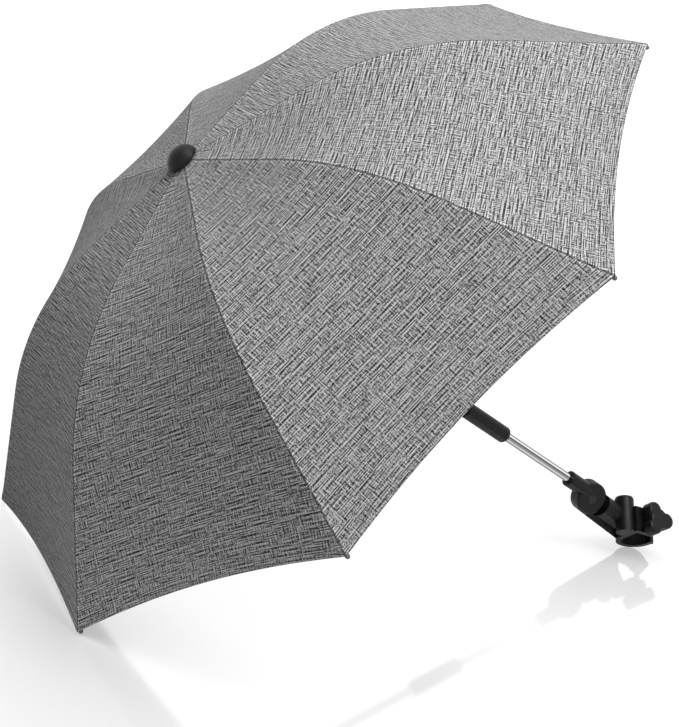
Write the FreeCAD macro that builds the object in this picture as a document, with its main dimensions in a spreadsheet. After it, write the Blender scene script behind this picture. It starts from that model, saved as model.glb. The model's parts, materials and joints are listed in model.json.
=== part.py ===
"""Pram parasol: eight-rib canopy on a jointed shaft, with a clamp for a pram's tube.

The part lies as it is put down: two rib tips and the foot of the clamp on the floor.
X runs from the canopy to the clamp, Z is up and the shaft is in the plane Y = 0.
The origin is the centre of the clamp's seat, on the axis of the pram's tube.
All lengths are in millimetres and all angles in degrees.
"""
import FreeCAD, Part
import Sketcher
import math
import os
import re

V = FreeCAD.Vector
DOC = FreeCAD.newDocument("PramParasol")
SHEET = DOC.addObject("Spreadsheet::Sheet", "Sizes")

SIZES = [
    ("tip_radius", 350.0, "canopy corner from the shaft axis, canopy open"),
    ("crown_slope", 6.6, "slope of the straight inner part of a rib"),
    ("bend_start", 110.0, "radius where the rib starts to bend"),
    ("bend_radius", 270.0, "radius of the bend of the rib, at the cloth"),
    ("hem_slope", 41.1, "slope of the straight outer part of a rib"),
    ("cloth_wall", 0.8, "thickness of the canopy cloth with its seams"),
    ("cloth_gap", 0.9, "room between the cloth and what lies under it"),
    ("cloth_hole_r", 6.5, "hole of the canopy at the crown"),
    ("panel_gap", 0.4, "gap between two neighbouring gores"),
    ("scallop", 10.0, "how far the hem runs in at the middle of a panel"),
    ("rib_rod_d", 2.6, "diameter of a rib"),
    ("rib_tip_d", 3.8, "diameter of the cap on a rib's end"),
    ("tip_reach", 1.7, "how far the cap stands out past the cloth"),
    ("hinge_r", 10.0, "rib hinges from the shaft axis"),
    ("ring_wire_d", 1.2, "wire ring that carries the ribs"),
    ("eye_d", 3.6, "eye at the root of a rib"),
    ("eye_w", 2.8, "width of that eye"),
    ("slot_gap", 0.3, "side clearance of ribs and stretchers in their slots"),
    ("link_len", 90.0, "rib hinge to stretcher pin, and stretcher pin to runner"),
    ("tab_drop", 4.5, "stretcher pin below the middle of the rib"),
    ("tab_w", 1.8, "thickness of the tab under the rib"),
    ("tab_r", 2.2, "radius of the tab and of the fork's cheeks"),
    ("pin_d", 1.4, "stretcher pin"),
    ("cheek_w", 1.0, "thickness of a cheek of the stretcher's fork"),
    ("fork_len", 8.0, "length of the stretcher's fork"),
    ("stretcher_d", 2.4, "diameter of a stretcher"),
    ("tongue_r", 1.8, "radius of the stretcher's end in the runner"),
    ("tube_d", 9.0, "outer diameter of the shaft's tubes"),
    ("tube_wall", 0.8, "wall of the shaft's tubes"),
    ("plug_gap", 0.1, "radial play of plugs and press-fitted ends"),
    ("slide_gap", 0.3, "radial play of the runner and of the lock sleeve"),
    ("crown_r", 13.0, "radius of the crown"),
    ("crown_len", 9.0, "height of the crown"),
    ("slot_depth_r", 7.0, "inner end of the slots in crown and runner"),
    ("ferrule_d", 28.0, "diameter of the cap on top of the canopy"),
    ("ferrule_rise", 11.0, "height of that cap"),
    ("ferrule_stem", 22.0, "length of the cap's stem in the tube"),
    ("runner_r", 13.5, "radius of the runner's flange"),
    ("runner_flange", 6.0, "height of the runner's flange"),
    ("runner_skirt_r", 6.4, "radius of the runner's sleeve"),
    ("runner_skirt", 14.0, "length of the runner's sleeve"),
    ("joint_depth", 205.0, "tilt joint below the top of the canopy"),
    ("tilt_rest", 11.2, "bend of the shaft at rest"),
    ("knuckle_reach", 5.2, "tilt pin to the shoulder of each knuckle"),
    ("knuckle_end_r", 4.4, "rounded end of each knuckle"),
    ("tongue_w", 3.2, "thickness of the upper knuckle's tongue"),
    ("tilt_pin_d", 3.0, "tilt pin"),
    ("collar_len", 6.0, "collar of each knuckle between joint and tube"),
    ("plug_len", 16.0, "length of each knuckle's plug in its tube"),
    ("sleeve_d", 16.0, "outer diameter of the lock sleeve"),
    ("sleeve_len", 55.0, "length of the lock sleeve"),
    ("sleeve_below", 168.0, "tilt joint to the upper end of the lock sleeve"),
    ("sleeve_round", 3.5, "rounding of the lock sleeve's lower end"),
    ("mouth_below", 314.0, "tilt joint to the mouth of the holder"),
    ("holder_d", 16.0, "outer diameter of the holder's socket"),
    ("holder_depth", 15.0, "depth of the holder's socket"),
    ("holder_reach", 34.0, "mouth of the holder to the swivel's axis"),
    ("holder_drop", 4.0, "swivel's axis below the axis of the shaft"),
    ("swivel_r", 16.5, "radius of the swivel's two discs"),
    ("disc_w", 7.0, "thickness of each swivel disc"),
    ("disc_gap", 0.3, "gap between the two discs"),
    ("bolt_d", 5.0, "swivel bolt"),
    ("bolt_head_d", 10.0, "head of the swivel bolt"),
    ("bolt_head_h", 2.6, "height of that head"),
    ("nut_w", 8.0, "width across flats of the swivel nut"),
    ("nut_h", 4.0, "height of the swivel nut"),
    ("seat_r", 12.5, "radius of the pram's tube in the clamp"),
    ("liner_wall", 1.5, "rubber liner in the seat"),
    ("frame_wall", 5.0, "wall of the clamp round the liner"),
    ("frame_w", 26.0, "width of the clamp along the pram's tube"),
    ("lip_rise", 4.0, "height of the clamp's lip above the seat's centre"),
    ("arm_below", 18.4, "underside of the clamp's arm above the seat's centre"),
    ("arm_h", 5.4, "height of the clamp's arm"),
    ("clamp_lean", 14.0, "turn of the clamp about the swivel's axis, from level"),
    ("clamp_tip", 50.0, "tip of the seat and screw to the side of the holder"),
    ("swivel_back", 63.0, "swivel's axis behind the seat's centre"),
    ("swivel_rise", 34.6, "swivel's axis above the seat's centre"),
    ("neck_r", 11.5, "radius of the clamp's neck"),
    ("boss_r", 9.5, "radius of the upright boss on the clamp's back"),
    ("boss_out", 23.5, "axis of that boss behind the seat's centre"),
    ("boss_rise", 12.5, "axis of that boss above the seat's centre"),
    ("boss_top", 24.0, "top of that boss from the middle of the clamp's width"),
    ("lip_r", 3.6, "radius of the rounded end of the clamp's lip"),
    ("neck_gap", 2.0, "end of the neck to the swivel's disc"),
    ("pad_r", 10.0, "radius of the moving jaw"),
    ("pad_h", 2.8, "height of the moving jaw"),
    ("pad_gap", 0.1, "moving jaw to the pram's tube at rest"),
    ("screw_d", 7.6, "clamp screw"),
    ("screw_gap", 0.3, "play of the clamp screw in the arm"),
    ("knob_rise", 3.0, "knob above the arm at rest"),
    ("knob_h", 11.0, "height of the knob"),
    ("knob_hub_r", 11.0, "radius of the knob's hub"),
    ("lobe_r", 8.0, "radius of a lobe of the knob"),
    ("lobe_out", 10.0, "lobes from the knob's axis"),
    ("edge_round", 2.4, "rounding of the edges of knob and holder"),
]
for row, (alias, value, note) in enumerate(SIZES, start=1):
    SHEET.set(f"A{row}", note)
    SHEET.set(f"B{row}", str(value))
    SHEET.setAlias(f"B{row}", alias)
DOC.recompute()

RIBS = 8
LOBES = 3
NAMES = "|".join(sorted((alias for alias, _, _ in SIZES), key=len, reverse=True))
WORD = re.compile(r"\b(" + NAMES + r")\b")
NODES = []


def size(alias):
    """Return one value of the sheet as a number."""
    return float(SHEET.get(alias))


def size_of(text):
    """Return the value of a sum of sizes, or of numbers times sizes."""
    total = 0.0
    for term in text.split(" + "):
        factors = term.split(" * ")
        total += math.prod(size(word) if WORD.fullmatch(word) else float(word) for word in factors)
    return total


def bind(obj, **properties):
    """Tie properties of an object to expressions in names of the sheet."""
    for name, text in properties.items():
        obj.setExpression(name, WORD.sub(r"Sizes.\1", text))
    return obj


def at(base, rotation=None):
    """Return a placement at a point."""
    return FreeCAD.Placement(base, rotation or FreeCAD.Rotation())


def cylinder(name, radius, height, base=V(), axis=V(0, 0, 1)):
    """Add a cylinder that starts at base and runs along axis."""
    obj = bind(DOC.addObject("Part::Cylinder", name), Radius=radius, Height=height)
    obj.Placement = at(base, FreeCAD.Rotation(V(0, 0, 1), axis))
    return obj


def box(name, length, width, height, base=V(), rotation=None):
    """Add a box whose low corner is at base, in axes turned by rotation."""
    obj = bind(DOC.addObject("Part::Box", name), Length=length, Width=width, Height=height)
    obj.Placement = at(base, rotation)
    return obj


def fuse(name, shapes):
    """Join solids into one."""
    obj = DOC.addObject("Part::MultiFuse", name)
    obj.Shapes = shapes
    obj.Refine = True
    return obj


def cut(name, base, tools):
    """Take tools away from a solid."""
    obj = DOC.addObject("Part::Cut", name)
    obj.Base = base
    obj.Tool = tools[0] if len(tools) == 1 else fuse(name + "_tools", tools)
    obj.Refine = True
    return obj


def node(obj, label, frame):
    """Name a sub-part and set it in its place."""
    obj.Label = label
    obj.Placement = frame.multiply(obj.Placement)
    NODES.append(obj)
    return obj


def rounded_post(name, radius, height, base=V(), axis=V(0, 0, 1)):
    """Add a cylinder along axis whose far edge is rounded off in two steps."""
    steps = [("0", "0.29 * edge_round", "0.71 * edge_round"),
             ("0.29 * edge_round", "edge_round", "0.29 * edge_round")]
    turn = FreeCAD.Rotation(V(0, 0, 1), axis)
    rise = size_of(height) - size("edge_round")
    parts = [cylinder(name + "_post", radius, f"{height} - edge_round", base, axis)]
    for number, (less_low, less_high, step) in enumerate(steps, start=1):
        cone = bind(DOC.addObject("Part::Cone", f"{name}_edge_{number}"),
                    Radius1=f"{radius} - {less_low}", Radius2=f"{radius} - {less_high}",
                    Height=step)
        cone.Placement = at(base + axis * rise, turn)
        rise += size_of(step)
        parts.append(cone)
    return fuse(name, parts)


def sketch_on(body, name, role):
    """Add a sketch on one of a body's own origin planes."""
    sketch = body.newObject("Sketcher::SketchObject", name)
    plane = next(f for f in body.Origin.OriginFeatures if f.Role == role)
    sketch.AttachmentSupport = [(plane, "")]
    sketch.MapMode = "FlatFace"
    return sketch


def fix_point(sketch, geometry, position, x_text, y_text):
    """Set a point of a sketch at two expressions, measured from its origin."""
    for kind, text, axis in (("DistanceX", x_text, -2), ("DistanceY", y_text, -1)):
        if text == "0":
            sketch.addConstraint(Sketcher.Constraint("PointOnObject", geometry, position, axis))
            continue
        index = sketch.addConstraint(
            Sketcher.Constraint(kind, -1, 1, geometry, position, 1.0))
        sketch.setExpression(f"Constraints[{index}]", WORD.sub(r"Sizes.\1", text))


def polygon(sketch, corners):
    """Draw a closed outline whose corners are pairs of expressions."""
    count = len(corners)
    ring = [V(math.cos(math.tau * i / count), math.sin(math.tau * i / count), 0)
            for i in range(count)]
    for i in range(count):
        sketch.addGeometry(Part.LineSegment(ring[i], ring[(i + 1) % count]))
    for i in range(count):
        sketch.addConstraint(Sketcher.Constraint("Coincident", i, 2, (i + 1) % count, 1))
    for i, (x_text, y_text) in enumerate(corners):
        fix_point(sketch, i, 1, x_text, y_text)


def circle(sketch, radius, x_text="0", y_text="0"):
    """Draw a circle with a bound radius and centre."""
    index = sketch.addGeometry(Part.Circle(V(0, 0, 0), V(0, 0, 1), 1.0))
    spot = sketch.addConstraint(Sketcher.Constraint("Radius", index, 1.0))
    sketch.setExpression(f"Constraints[{spot}]", WORD.sub(r"Sizes.\1", radius))
    if x_text == "0" and y_text == "0":
        sketch.addConstraint(Sketcher.Constraint("Coincident", index, 3, -1, 1))
    else:
        fix_point(sketch, index, 3, x_text, y_text)


def turned(name, corners):
    """Make a body of revolution about Z from (radius, height) corners."""
    body = DOC.addObject("PartDesign::Body", name)
    sketch = sketch_on(body, name + "_profile", "XZ_Plane")
    polygon(sketch, corners)
    feature = body.newObject("PartDesign::Revolution", name + "_turn")
    feature.Profile = sketch
    feature.ReferenceAxis = (sketch, ["V_Axis"])
    feature.Angle = 360.0
    return body


def pad(body, name, draw, length, role="XY_Plane"):
    """Add a pad whose outline draw() puts on a new sketch."""
    sketch = sketch_on(body, name + "_outline", role)
    draw(sketch)
    feature = body.newObject("PartDesign::Pad", name)
    feature.Profile = sketch
    bind(feature, Length=length)
    return feature


def pocket_through(body, name, draw):
    """Cut an outline through a body, both ways from its XY plane."""
    sketch = sketch_on(body, name + "_outline", "XY_Plane")
    draw(sketch)
    feature = body.newObject("PartDesign::Pocket", name)
    feature.Profile = sketch
    feature.Type = 1
    feature.Midplane = True
    return feature


def around(body, name, feature, count):
    """Repeat a feature round the body's Z axis."""
    pattern = body.newObject("PartDesign::PolarPattern", name)
    pattern.Originals = [feature]
    axis = next(f for f in body.Origin.OriginFeatures if f.Role == "Z_Axis")
    pattern.Axis = (axis, [""])
    pattern.Angle = 360.0
    pattern.Occurrences = count
    body.Tip = pattern
    return pattern


class Profile:
    """The line of a rib in its own plane: straight, bend, straight.

    A point is (radius from the shaft axis, height over the top of the canopy).
    """

    def __init__(self):
        self.slope_in = math.radians(size("crown_slope"))
        self.slope_out = math.radians(size("hem_slope"))
        self.bend = size("bend_radius")
        self.start = size("bend_start") / math.cos(self.slope_in)
        self.turn = self.slope_out - self.slope_in
        self.bend_end = self.start + self.bend * self.turn
        self.end = self.bend_end
        self.end += (size("tip_radius") - self.point(self.bend_end)[0]) / math.cos(self.slope_out)

    def slope(self, run):
        """Return the slope below the horizontal at a run along the cloth."""
        turned_by = min(max(run - self.start, 0.0) / self.bend, self.turn)
        return self.slope_in + turned_by

    def point(self, run, drop=0.0):
        """Return the point at a run along the cloth, dropped inward from it."""
        slope = self.slope(run)
        first = min(run, self.start)
        radius = first * math.cos(self.slope_in)
        height = -first * math.sin(self.slope_in)
        radius += self.bend * (math.sin(slope) - math.sin(self.slope_in))
        height -= self.bend * (math.cos(self.slope_in) - math.cos(slope))
        last = max(run - self.start - self.bend * self.turn, 0.0)
        radius += last * math.cos(slope)
        height -= last * math.sin(slope)
        return radius - drop * math.sin(slope), height - drop * math.cos(slope)


HALF = math.pi / RIBS
LINE = Profile()
ROD_DROP = size("cloth_wall") + size("cloth_gap") + size("rib_rod_d") / 2
TIP_RUN = LINE.end + size("tip_reach") - size("rib_tip_d") / 2
TIP = LINE.point(TIP_RUN, ROD_DROP)
ROOT_RUN = (size("hinge_r") + ROD_DROP * math.sin(LINE.slope_in)) / math.cos(LINE.slope_in)
HINGE = LINE.point(ROOT_RUN, ROD_DROP)
PIN_ALONG = math.sqrt(size("link_len") ** 2 - size("tab_drop") ** 2)
PIN = LINE.point(ROOT_RUN + PIN_ALONG, ROD_DROP + size("tab_drop"))
RUNNER_Z = HINGE[1] - 2 * (HINGE[1] - PIN[1])

# The lying pose: the bent shaft turns about the swivel until the two lowest caps touch the floor.
RING = size("seat_r") + size("liner_wall") + size("frame_wall")
LEAN = math.radians(size("clamp_lean"))
TUBE_UP = math.sin(math.radians(size("clamp_tip"))) * math.cos(LEAN)
FLOOR = -(RING * math.sqrt(1 - TUBE_UP ** 2) + size("frame_w") / 2 * abs(TUBE_UP))
SWIVEL_BELOW = size("mouth_below") + size("holder_reach")
BEND = math.radians(size("tilt_rest"))
DROP = size("holder_drop")
ACROSS = DROP * math.cos(BEND) - TIP[0] * math.cos(HALF) - SWIVEL_BELOW * math.sin(BEND)
ALONG = DROP * math.sin(BEND) + TIP[1] + size("joint_depth") + SWIVEL_BELOW * math.cos(BEND)
LEVEL = FLOOR + size("rib_tip_d") / 2 - size("swivel_rise")
RISE = math.asin(LEVEL / math.hypot(ACROSS, ALONG)) - math.atan2(ACROSS, ALONG)


def shaft_frame(base, rise):
    """Return a frame whose Z runs up the shaft at an angle over the floor."""
    z_axis = V(-math.cos(rise), 0, math.sin(rise))
    x_axis = V(math.sin(rise), 0, math.cos(rise))
    return at(base, FreeCAD.Rotation(x_axis, V(0, 1, 0), z_axis, "ZXY"))


SWIVEL = V(-size("swivel_back"), 0, size("swivel_rise"))
LOW_RISE = RISE - BEND
JOINT = SWIVEL + V(-math.cos(LOW_RISE), 0, math.sin(LOW_RISE)) * SWIVEL_BELOW
JOINT += V(math.sin(LOW_RISE), 0, math.cos(LOW_RISE)) * DROP
APEX = JOINT + V(-math.cos(RISE), 0, math.sin(RISE)) * size("joint_depth")
UPPER = shaft_frame(APEX, RISE)
LOWER = shaft_frame(JOINT, LOW_RISE)
CLAMP = at(V(), FreeCAD.Rotation(V(0, 1, 0), size("clamp_lean")))
TIPPED = at(V(), FreeCAD.Rotation(V(1, 0, 0), size("clamp_tip")))
SEAT = CLAMP.multiply(TIPPED)


def rib_frame(index):
    """Return the frame of one rib: X outward, Z up the shaft."""
    angle = 180.0 + math.degrees(HALF) + index * 360.0 / RIBS
    return UPPER.multiply(at(V(), FreeCAD.Rotation(V(0, 0, 1), angle)))


def in_plane(point, side=0.0):
    """Return a point of a rib's plane as a vector."""
    return V(point[0], side, point[1])


def make_canopy_top():
    """Make the cap, the crown, its wire ring and the upper tube."""
    seat = "cloth_gap - cloth_hole_r * tan(crown_slope * 1 deg)"
    dome = bind(DOC.addObject("Part::Ellipsoid", "ferrule_dome"),
                Radius1="ferrule_rise", Radius2="ferrule_d / 2", Radius3="ferrule_d / 2")
    dome.Angle1 = 0.0
    stem = cylinder("ferrule_stem_rod", "tube_d / 2 - tube_wall - plug_gap", "ferrule_stem",
                    V(0, 0, -size("ferrule_stem")))
    cap = fuse("ferrule_solid", [dome, stem])
    lift = size("cloth_gap") - size("cloth_hole_r") * math.tan(LINE.slope_in)
    node(cap, "ferrule_cap", UPPER.multiply(at(V(0, 0, lift))))

    top = HINGE[1] + size("ring_wire_d")
    crown = DOC.addObject("PartDesign::Body", "crown_body")
    pad(crown, "crown_disc", lambda s: circle(s, "crown_r"), "crown_len")
    pocket_through(crown, "crown_bore", lambda s: circle(s, "tube_d / 2 + plug_gap"))
    slot = pocket_through(crown, "crown_slot", lambda s: polygon(s, [
        ("slot_depth_r", "-(eye_w / 2 + slot_gap)"),
        ("crown_r + 1", "-(eye_w / 2 + slot_gap)"),
        ("crown_r + 1", "eye_w / 2 + slot_gap"),
        ("slot_depth_r", "eye_w / 2 + slot_gap")]))
    around(crown, "crown_slots", slot, RIBS)
    groove_sketch = sketch_on(crown, "crown_groove_profile", "XZ_Plane")
    circle(groove_sketch, "ring_wire_d / 2 + plug_gap", "hinge_r", "crown_len - ring_wire_d")
    groove = crown.newObject("PartDesign::Groove", "crown_groove")
    groove.Profile = groove_sketch
    groove.ReferenceAxis = (groove_sketch, ["V_Axis"])
    groove.Angle = 360.0
    turn = FreeCAD.Rotation(V(0, 0, 1), math.degrees(HALF))
    node(crown, "crown", UPPER.multiply(at(V(0, 0, top - size("crown_len")), turn)))

    ring = bind(DOC.addObject("Part::Torus", "crown_wire"),
                Radius1="hinge_r", Radius2="ring_wire_d / 2")
    node(ring, "crown_ring", UPPER.multiply(at(V(0, 0, HINGE[1]))))

    tube = turned("upper_tube_body", [
        ("tube_d / 2 - tube_wall", "0"), ("tube_d / 2", "0"),
        ("tube_d / 2", f"joint_depth - knuckle_reach - collar_len - {-top}"),
        ("tube_d / 2 - tube_wall", f"joint_depth - knuckle_reach - collar_len - {-top}")])
    low = -size("joint_depth") + size("knuckle_reach") + size("collar_len")
    node(tube, "upper_tube", UPPER.multiply(at(V(0, 0, low))))


def make_runner():
    """Make the runner: a slotted flange on a sleeve."""
    runner = DOC.addObject("PartDesign::Body", "runner_body")
    pad(runner, "runner_disc", lambda s: circle(s, "runner_r"), "runner_flange")
    skirt = pad(runner, "runner_tail", lambda s: circle(s, "runner_skirt_r"), "runner_skirt")
    skirt.Reversed = True
    pocket_through(runner, "runner_bore", lambda s: circle(s, "tube_d / 2 + slide_gap"))
    slot = pocket_through(runner, "runner_slot", lambda s: polygon(s, [
        ("slot_depth_r", "-(stretcher_d / 2 + slot_gap)"),
        ("runner_r + 1", "-(stretcher_d / 2 + slot_gap)"),
        ("runner_r + 1", "stretcher_d / 2 + slot_gap"),
        ("slot_depth_r", "stretcher_d / 2 + slot_gap")]))
    around(runner, "runner_slots", slot, RIBS)
    turn = FreeCAD.Rotation(V(0, 0, 1), math.degrees(HALF))
    base = V(0, 0, RUNNER_Z - size("runner_flange") / 2)
    node(runner, "runner", UPPER.multiply(at(base, turn)))


def make_rib(index):
    """Make one rib with its eye and tab, its cap and its stretcher pin."""
    number = index + 1
    frame = rib_frame(index)
    out = V(math.cos(LINE.slope_in), 0, -math.sin(LINE.slope_in))
    out_end = V(math.cos(LINE.slope_out), 0, -math.sin(LINE.slope_out))
    up = V(math.sin(LINE.slope_in), 0, math.cos(LINE.slope_in))
    side = V(0, 1, 0)

    inner = cylinder(f"rib_inner_{number}", "rib_rod_d / 2", "bend_start", in_plane(HINGE), out)
    inner.setExpression("Height", None)
    inner.Height = LINE.start - ROOT_RUN
    bend = bind(DOC.addObject("Part::Torus", f"rib_bend_{number}"),
                Radius1="bend_radius - cloth_wall - cloth_gap - rib_rod_d / 2",
                Radius2="rib_rod_d / 2", Angle3="hem_slope - crown_slope")
    centre = in_plane(LINE.point(LINE.start)) - up * size("bend_radius")
    bend.Placement = at(centre, FreeCAD.Rotation(up, out, side, "XYZ"))
    outer = cylinder(f"rib_outer_{number}", "rib_rod_d / 2", "rib_rod_d",
                     in_plane(LINE.point(LINE.bend_end, ROD_DROP)), out_end)
    outer.setExpression("Height", None)
    outer.Height = TIP_RUN - LINE.bend_end
    eye = cylinder(f"rib_eye_{number}", "eye_d / 2", "eye_w",
                   in_plane(HINGE, -size("eye_w") / 2), side)
    web = box(f"rib_web_{number}", "2 * tab_r", "tab_w", "tab_drop",
              in_plane(PIN, -size("tab_w") / 2) - out * size("tab_r"),
              FreeCAD.Rotation(out, side, up, "ZXY"))
    tab = cylinder(f"rib_tab_{number}", "tab_r", "tab_w", in_plane(PIN, -size("tab_w") / 2), side)
    solid = fuse(f"rib_solid_{number}", [inner, bend, outer, eye, web, tab])
    eye_bore = cylinder(f"rib_eye_bore_{number}", "ring_wire_d / 2 + plug_gap + slot_gap / 2",
                        "eye_w + 2", in_plane(HINGE, -size("eye_w") / 2 - 1), side)
    pin_bore = cylinder(f"rib_pin_bore_{number}", "pin_d / 2", "tab_w + 2",
                        in_plane(PIN, -size("tab_w") / 2 - 1), side)
    node(cut(f"rib_cut_{number}", solid, [eye_bore, pin_bore]), f"rib_{number}", frame)

    ball = bind(DOC.addObject("Part::Sphere", f"rib_ball_{number}"), Radius="rib_tip_d / 2")
    ball.Placement = at(in_plane(TIP))
    bore = cylinder(f"rib_tip_bore_{number}", "rib_rod_d / 2", "rib_tip_d",
                    in_plane(TIP) - out_end * size("rib_tip_d"), out_end)
    node(cut(f"rib_tip_cut_{number}", ball, [bore]), f"rib_tip_{number}", frame)

    span = "tab_w + 2 * slot_gap + 2 * cheek_w"
    half_span = size("tab_w") / 2 + size("slot_gap") + size("cheek_w")
    pin = cylinder(f"pin_rod_{number}", "pin_d / 2", span, in_plane(PIN, -half_span), side)
    node(pin, f"stretcher_pin_{number}", frame)


def make_stretcher(index):
    """Make one stretcher: a fork at the rib, a rod and a tongue at the runner."""
    number = index + 1
    side = V(0, 1, 0)
    end = V(HINGE[0], 0, RUNNER_Z)
    start = in_plane(PIN)
    along = (end - start).normalize()
    across = side.cross(along)
    turn = FreeCAD.Rotation(along, side, across.negative(), "ZXY")
    half_span = size("tab_w") / 2 + size("slot_gap") + size("cheek_w")
    low = -size("tab_r")
    block = box(f"fork_block_{number}", "fork_len", "tab_w + 2 * slot_gap + 2 * cheek_w",
                "2 * tab_r", start - side * half_span + turn.multVec(V(0, 0, low)), turn)
    nose = cylinder(f"fork_nose_{number}", "tab_r", "tab_w + 2 * slot_gap + 2 * cheek_w",
                    start - side * half_span, side)
    rod = cylinder(f"stretcher_rod_{number}", "stretcher_d / 2", "link_len - fork_len + 1",
                   start + along * (size("fork_len") - 1), along)
    tongue = cylinder(f"stretcher_tongue_{number}", "tongue_r", "stretcher_d",
                      end - side * (size("stretcher_d") / 2), side)
    solid = fuse(f"stretcher_solid_{number}", [block, nose, rod, tongue])
    gap = size("tab_w") / 2 + size("slot_gap")
    reach = size("tab_r") + size("slot_gap")
    slot = box(f"fork_slot_{number}", "fork_len - 2 + tab_r + slot_gap",
               "tab_w + 2 * slot_gap", "2 * (tab_r + slot_gap)",
               start - side * gap + turn.multVec(V(-reach, 0, -reach)), turn)
    bore = cylinder(f"fork_bore_{number}", "pin_d / 2 + plug_gap",
                    "tab_w + 2 * slot_gap + 2 * cheek_w + 2", start - side * (half_span + 1), side)
    node(cut(f"stretcher_cut_{number}", solid, [slot, bore]), f"stretcher_{number}",
         rib_frame(index))


def gore_point(run, share, inner):
    """Return a point of a gore: share is -1 and 1 in the middles of its two panels."""
    back = size("scallop") * (run / LINE.end) ** 8 * (1 - (1 - abs(share)) ** 2)
    place = run - back
    radius, height = LINE.point(place)
    slope = LINE.slope(place)
    slope_mid = math.atan(math.tan(slope) / math.cos(HALF))
    width = radius * math.cos(HALF) * math.sin(HALF)
    width -= size("panel_gap") / 2 / math.cos(HALF)
    spot = V(radius * (1 - abs(share) * math.sin(HALF) ** 2), share * width, height)
    if not inner:
        return spot
    lean = math.copysign(HALF, share) if share else 0.0
    steep = slope_mid if share else slope
    normal = V(math.sin(steep) * math.cos(lean), math.sin(steep) * math.sin(lean),
               math.cos(steep))
    return spot - normal * size("cloth_wall")


def patch(first, second, third, fourth):
    """Return the ruled face over four corners, taken round its edge."""
    return Part.makeRuledSurface(Part.makeLine(first, second), Part.makeLine(fourth, third))


def make_gore(index):
    """Make one gore: the cloth on a rib, out to the middles of the panels beside it."""
    first = size("cloth_hole_r") / math.cos(LINE.slope_in)
    runs = [first, LINE.start]
    runs += [LINE.start + (LINE.bend_end - LINE.start) * i / 7 for i in range(1, 8)]
    runs += [LINE.bend_end + (LINE.end - LINE.bend_end) * i / 4 for i in range(1, 5)]
    shares = [-1.0, -0.5, 0.0, 0.5, 1.0]
    top = [[gore_point(run, share, False) for share in shares] for run in runs]
    low = [[gore_point(run, share, True) for share in shares] for run in runs]
    faces = []
    for i in range(len(runs) - 1):
        for sheet in (top, low):
            for j in range(len(shares) - 1):
                faces.append(patch(sheet[i][j], sheet[i][j + 1],
                                   sheet[i + 1][j + 1], sheet[i + 1][j]))
        for j in (0, -1):
            faces.append(patch(top[i][j], top[i + 1][j], low[i + 1][j], low[i][j]))
    for i in (0, -1):
        for j in range(len(shares) - 1):
            faces.append(patch(top[i][j], top[i][j + 1], low[i][j + 1], low[i][j]))
    skin = Part.makeCompound(faces)
    skin.sewShape()
    solid = Part.makeSolid(skin.Shells[0])
    if solid.Volume < 0:
        solid.reverse()
    cloth = DOC.addObject("Part::Feature", f"gore_{index + 1}")
    cloth.Shape = solid
    node(cloth, f"canopy_gore_{index + 1}", rib_frame(index))


def make_tilt_joint():
    """Make the two knuckles and the pin of the tilt joint."""
    side = V(0, 1, 0)
    wide = "tongue_w + 2 * slot_gap"
    reach = size("knuckle_reach")
    collar = cylinder("upper_collar", "tube_d / 2", "collar_len", V(0, 0, reach))
    plug = cylinder("upper_plug", "tube_d / 2 - tube_wall - plug_gap", "plug_len",
                    V(0, 0, reach + size("collar_len")))
    blade = box("upper_blade", "2 * knuckle_end_r", "tongue_w", "knuckle_reach + 0.5",
                V(-size("knuckle_end_r"), -size("tongue_w") / 2, 0))
    nose = cylinder("upper_nose", "knuckle_end_r", "tongue_w", V(0, -size("tongue_w") / 2, 0), side)
    solid = fuse("upper_knuckle_solid", [collar, plug, blade, nose])
    bore = cylinder("upper_knuckle_bore", "tilt_pin_d / 2 + plug_gap", "tube_d",
                    V(0, -size("tube_d") / 2, 0), side)
    node(cut("upper_knuckle_cut", solid, [bore]), "upper_knuckle",
         UPPER.multiply(at(V(0, 0, -size("joint_depth")))))

    stock = cylinder("lower_stock", "tube_d / 2", "knuckle_reach + collar_len + knuckle_end_r",
                     V(0, 0, -reach - size("collar_len")))
    shank = box("lower_shank", "2 * tube_d", "2 * tube_d", "knuckle_reach + collar_len",
                V(-size("tube_d"), -size("tube_d"), -reach - size("collar_len")))
    head = cylinder("lower_head", "knuckle_end_r", "2 * tube_d", V(0, -size("tube_d"), 0), side)
    shaped = DOC.addObject("Part::Common", "lower_shaped")
    shaped.Base = stock
    shaped.Tool = fuse("lower_outline", [shank, head])
    plug = cylinder("lower_plug", "tube_d / 2 - tube_wall - plug_gap", "plug_len",
                    V(0, 0, -reach - size("collar_len") - size("plug_len")))
    solid = fuse("lower_knuckle_solid", [shaped, plug])
    slot = box("lower_slot", "2 * tube_d", wide, "2 * knuckle_reach",
               V(-size("tube_d"), -size("tongue_w") / 2 - size("slot_gap"), -reach))
    bore = cylinder("lower_knuckle_bore", "tilt_pin_d / 2", "tube_d",
                    V(0, -size("tube_d") / 2, 0), side)
    node(cut("lower_knuckle_cut", solid, [slot, bore]), "lower_knuckle", LOWER)

    pin = cylinder("tilt_pin_rod", "tilt_pin_d / 2", "tube_d - 2 * plug_gap",
                   V(0, -size("tube_d") / 2 + size("plug_gap"), 0), side)
    node(pin, "tilt_pin", LOWER)


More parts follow.
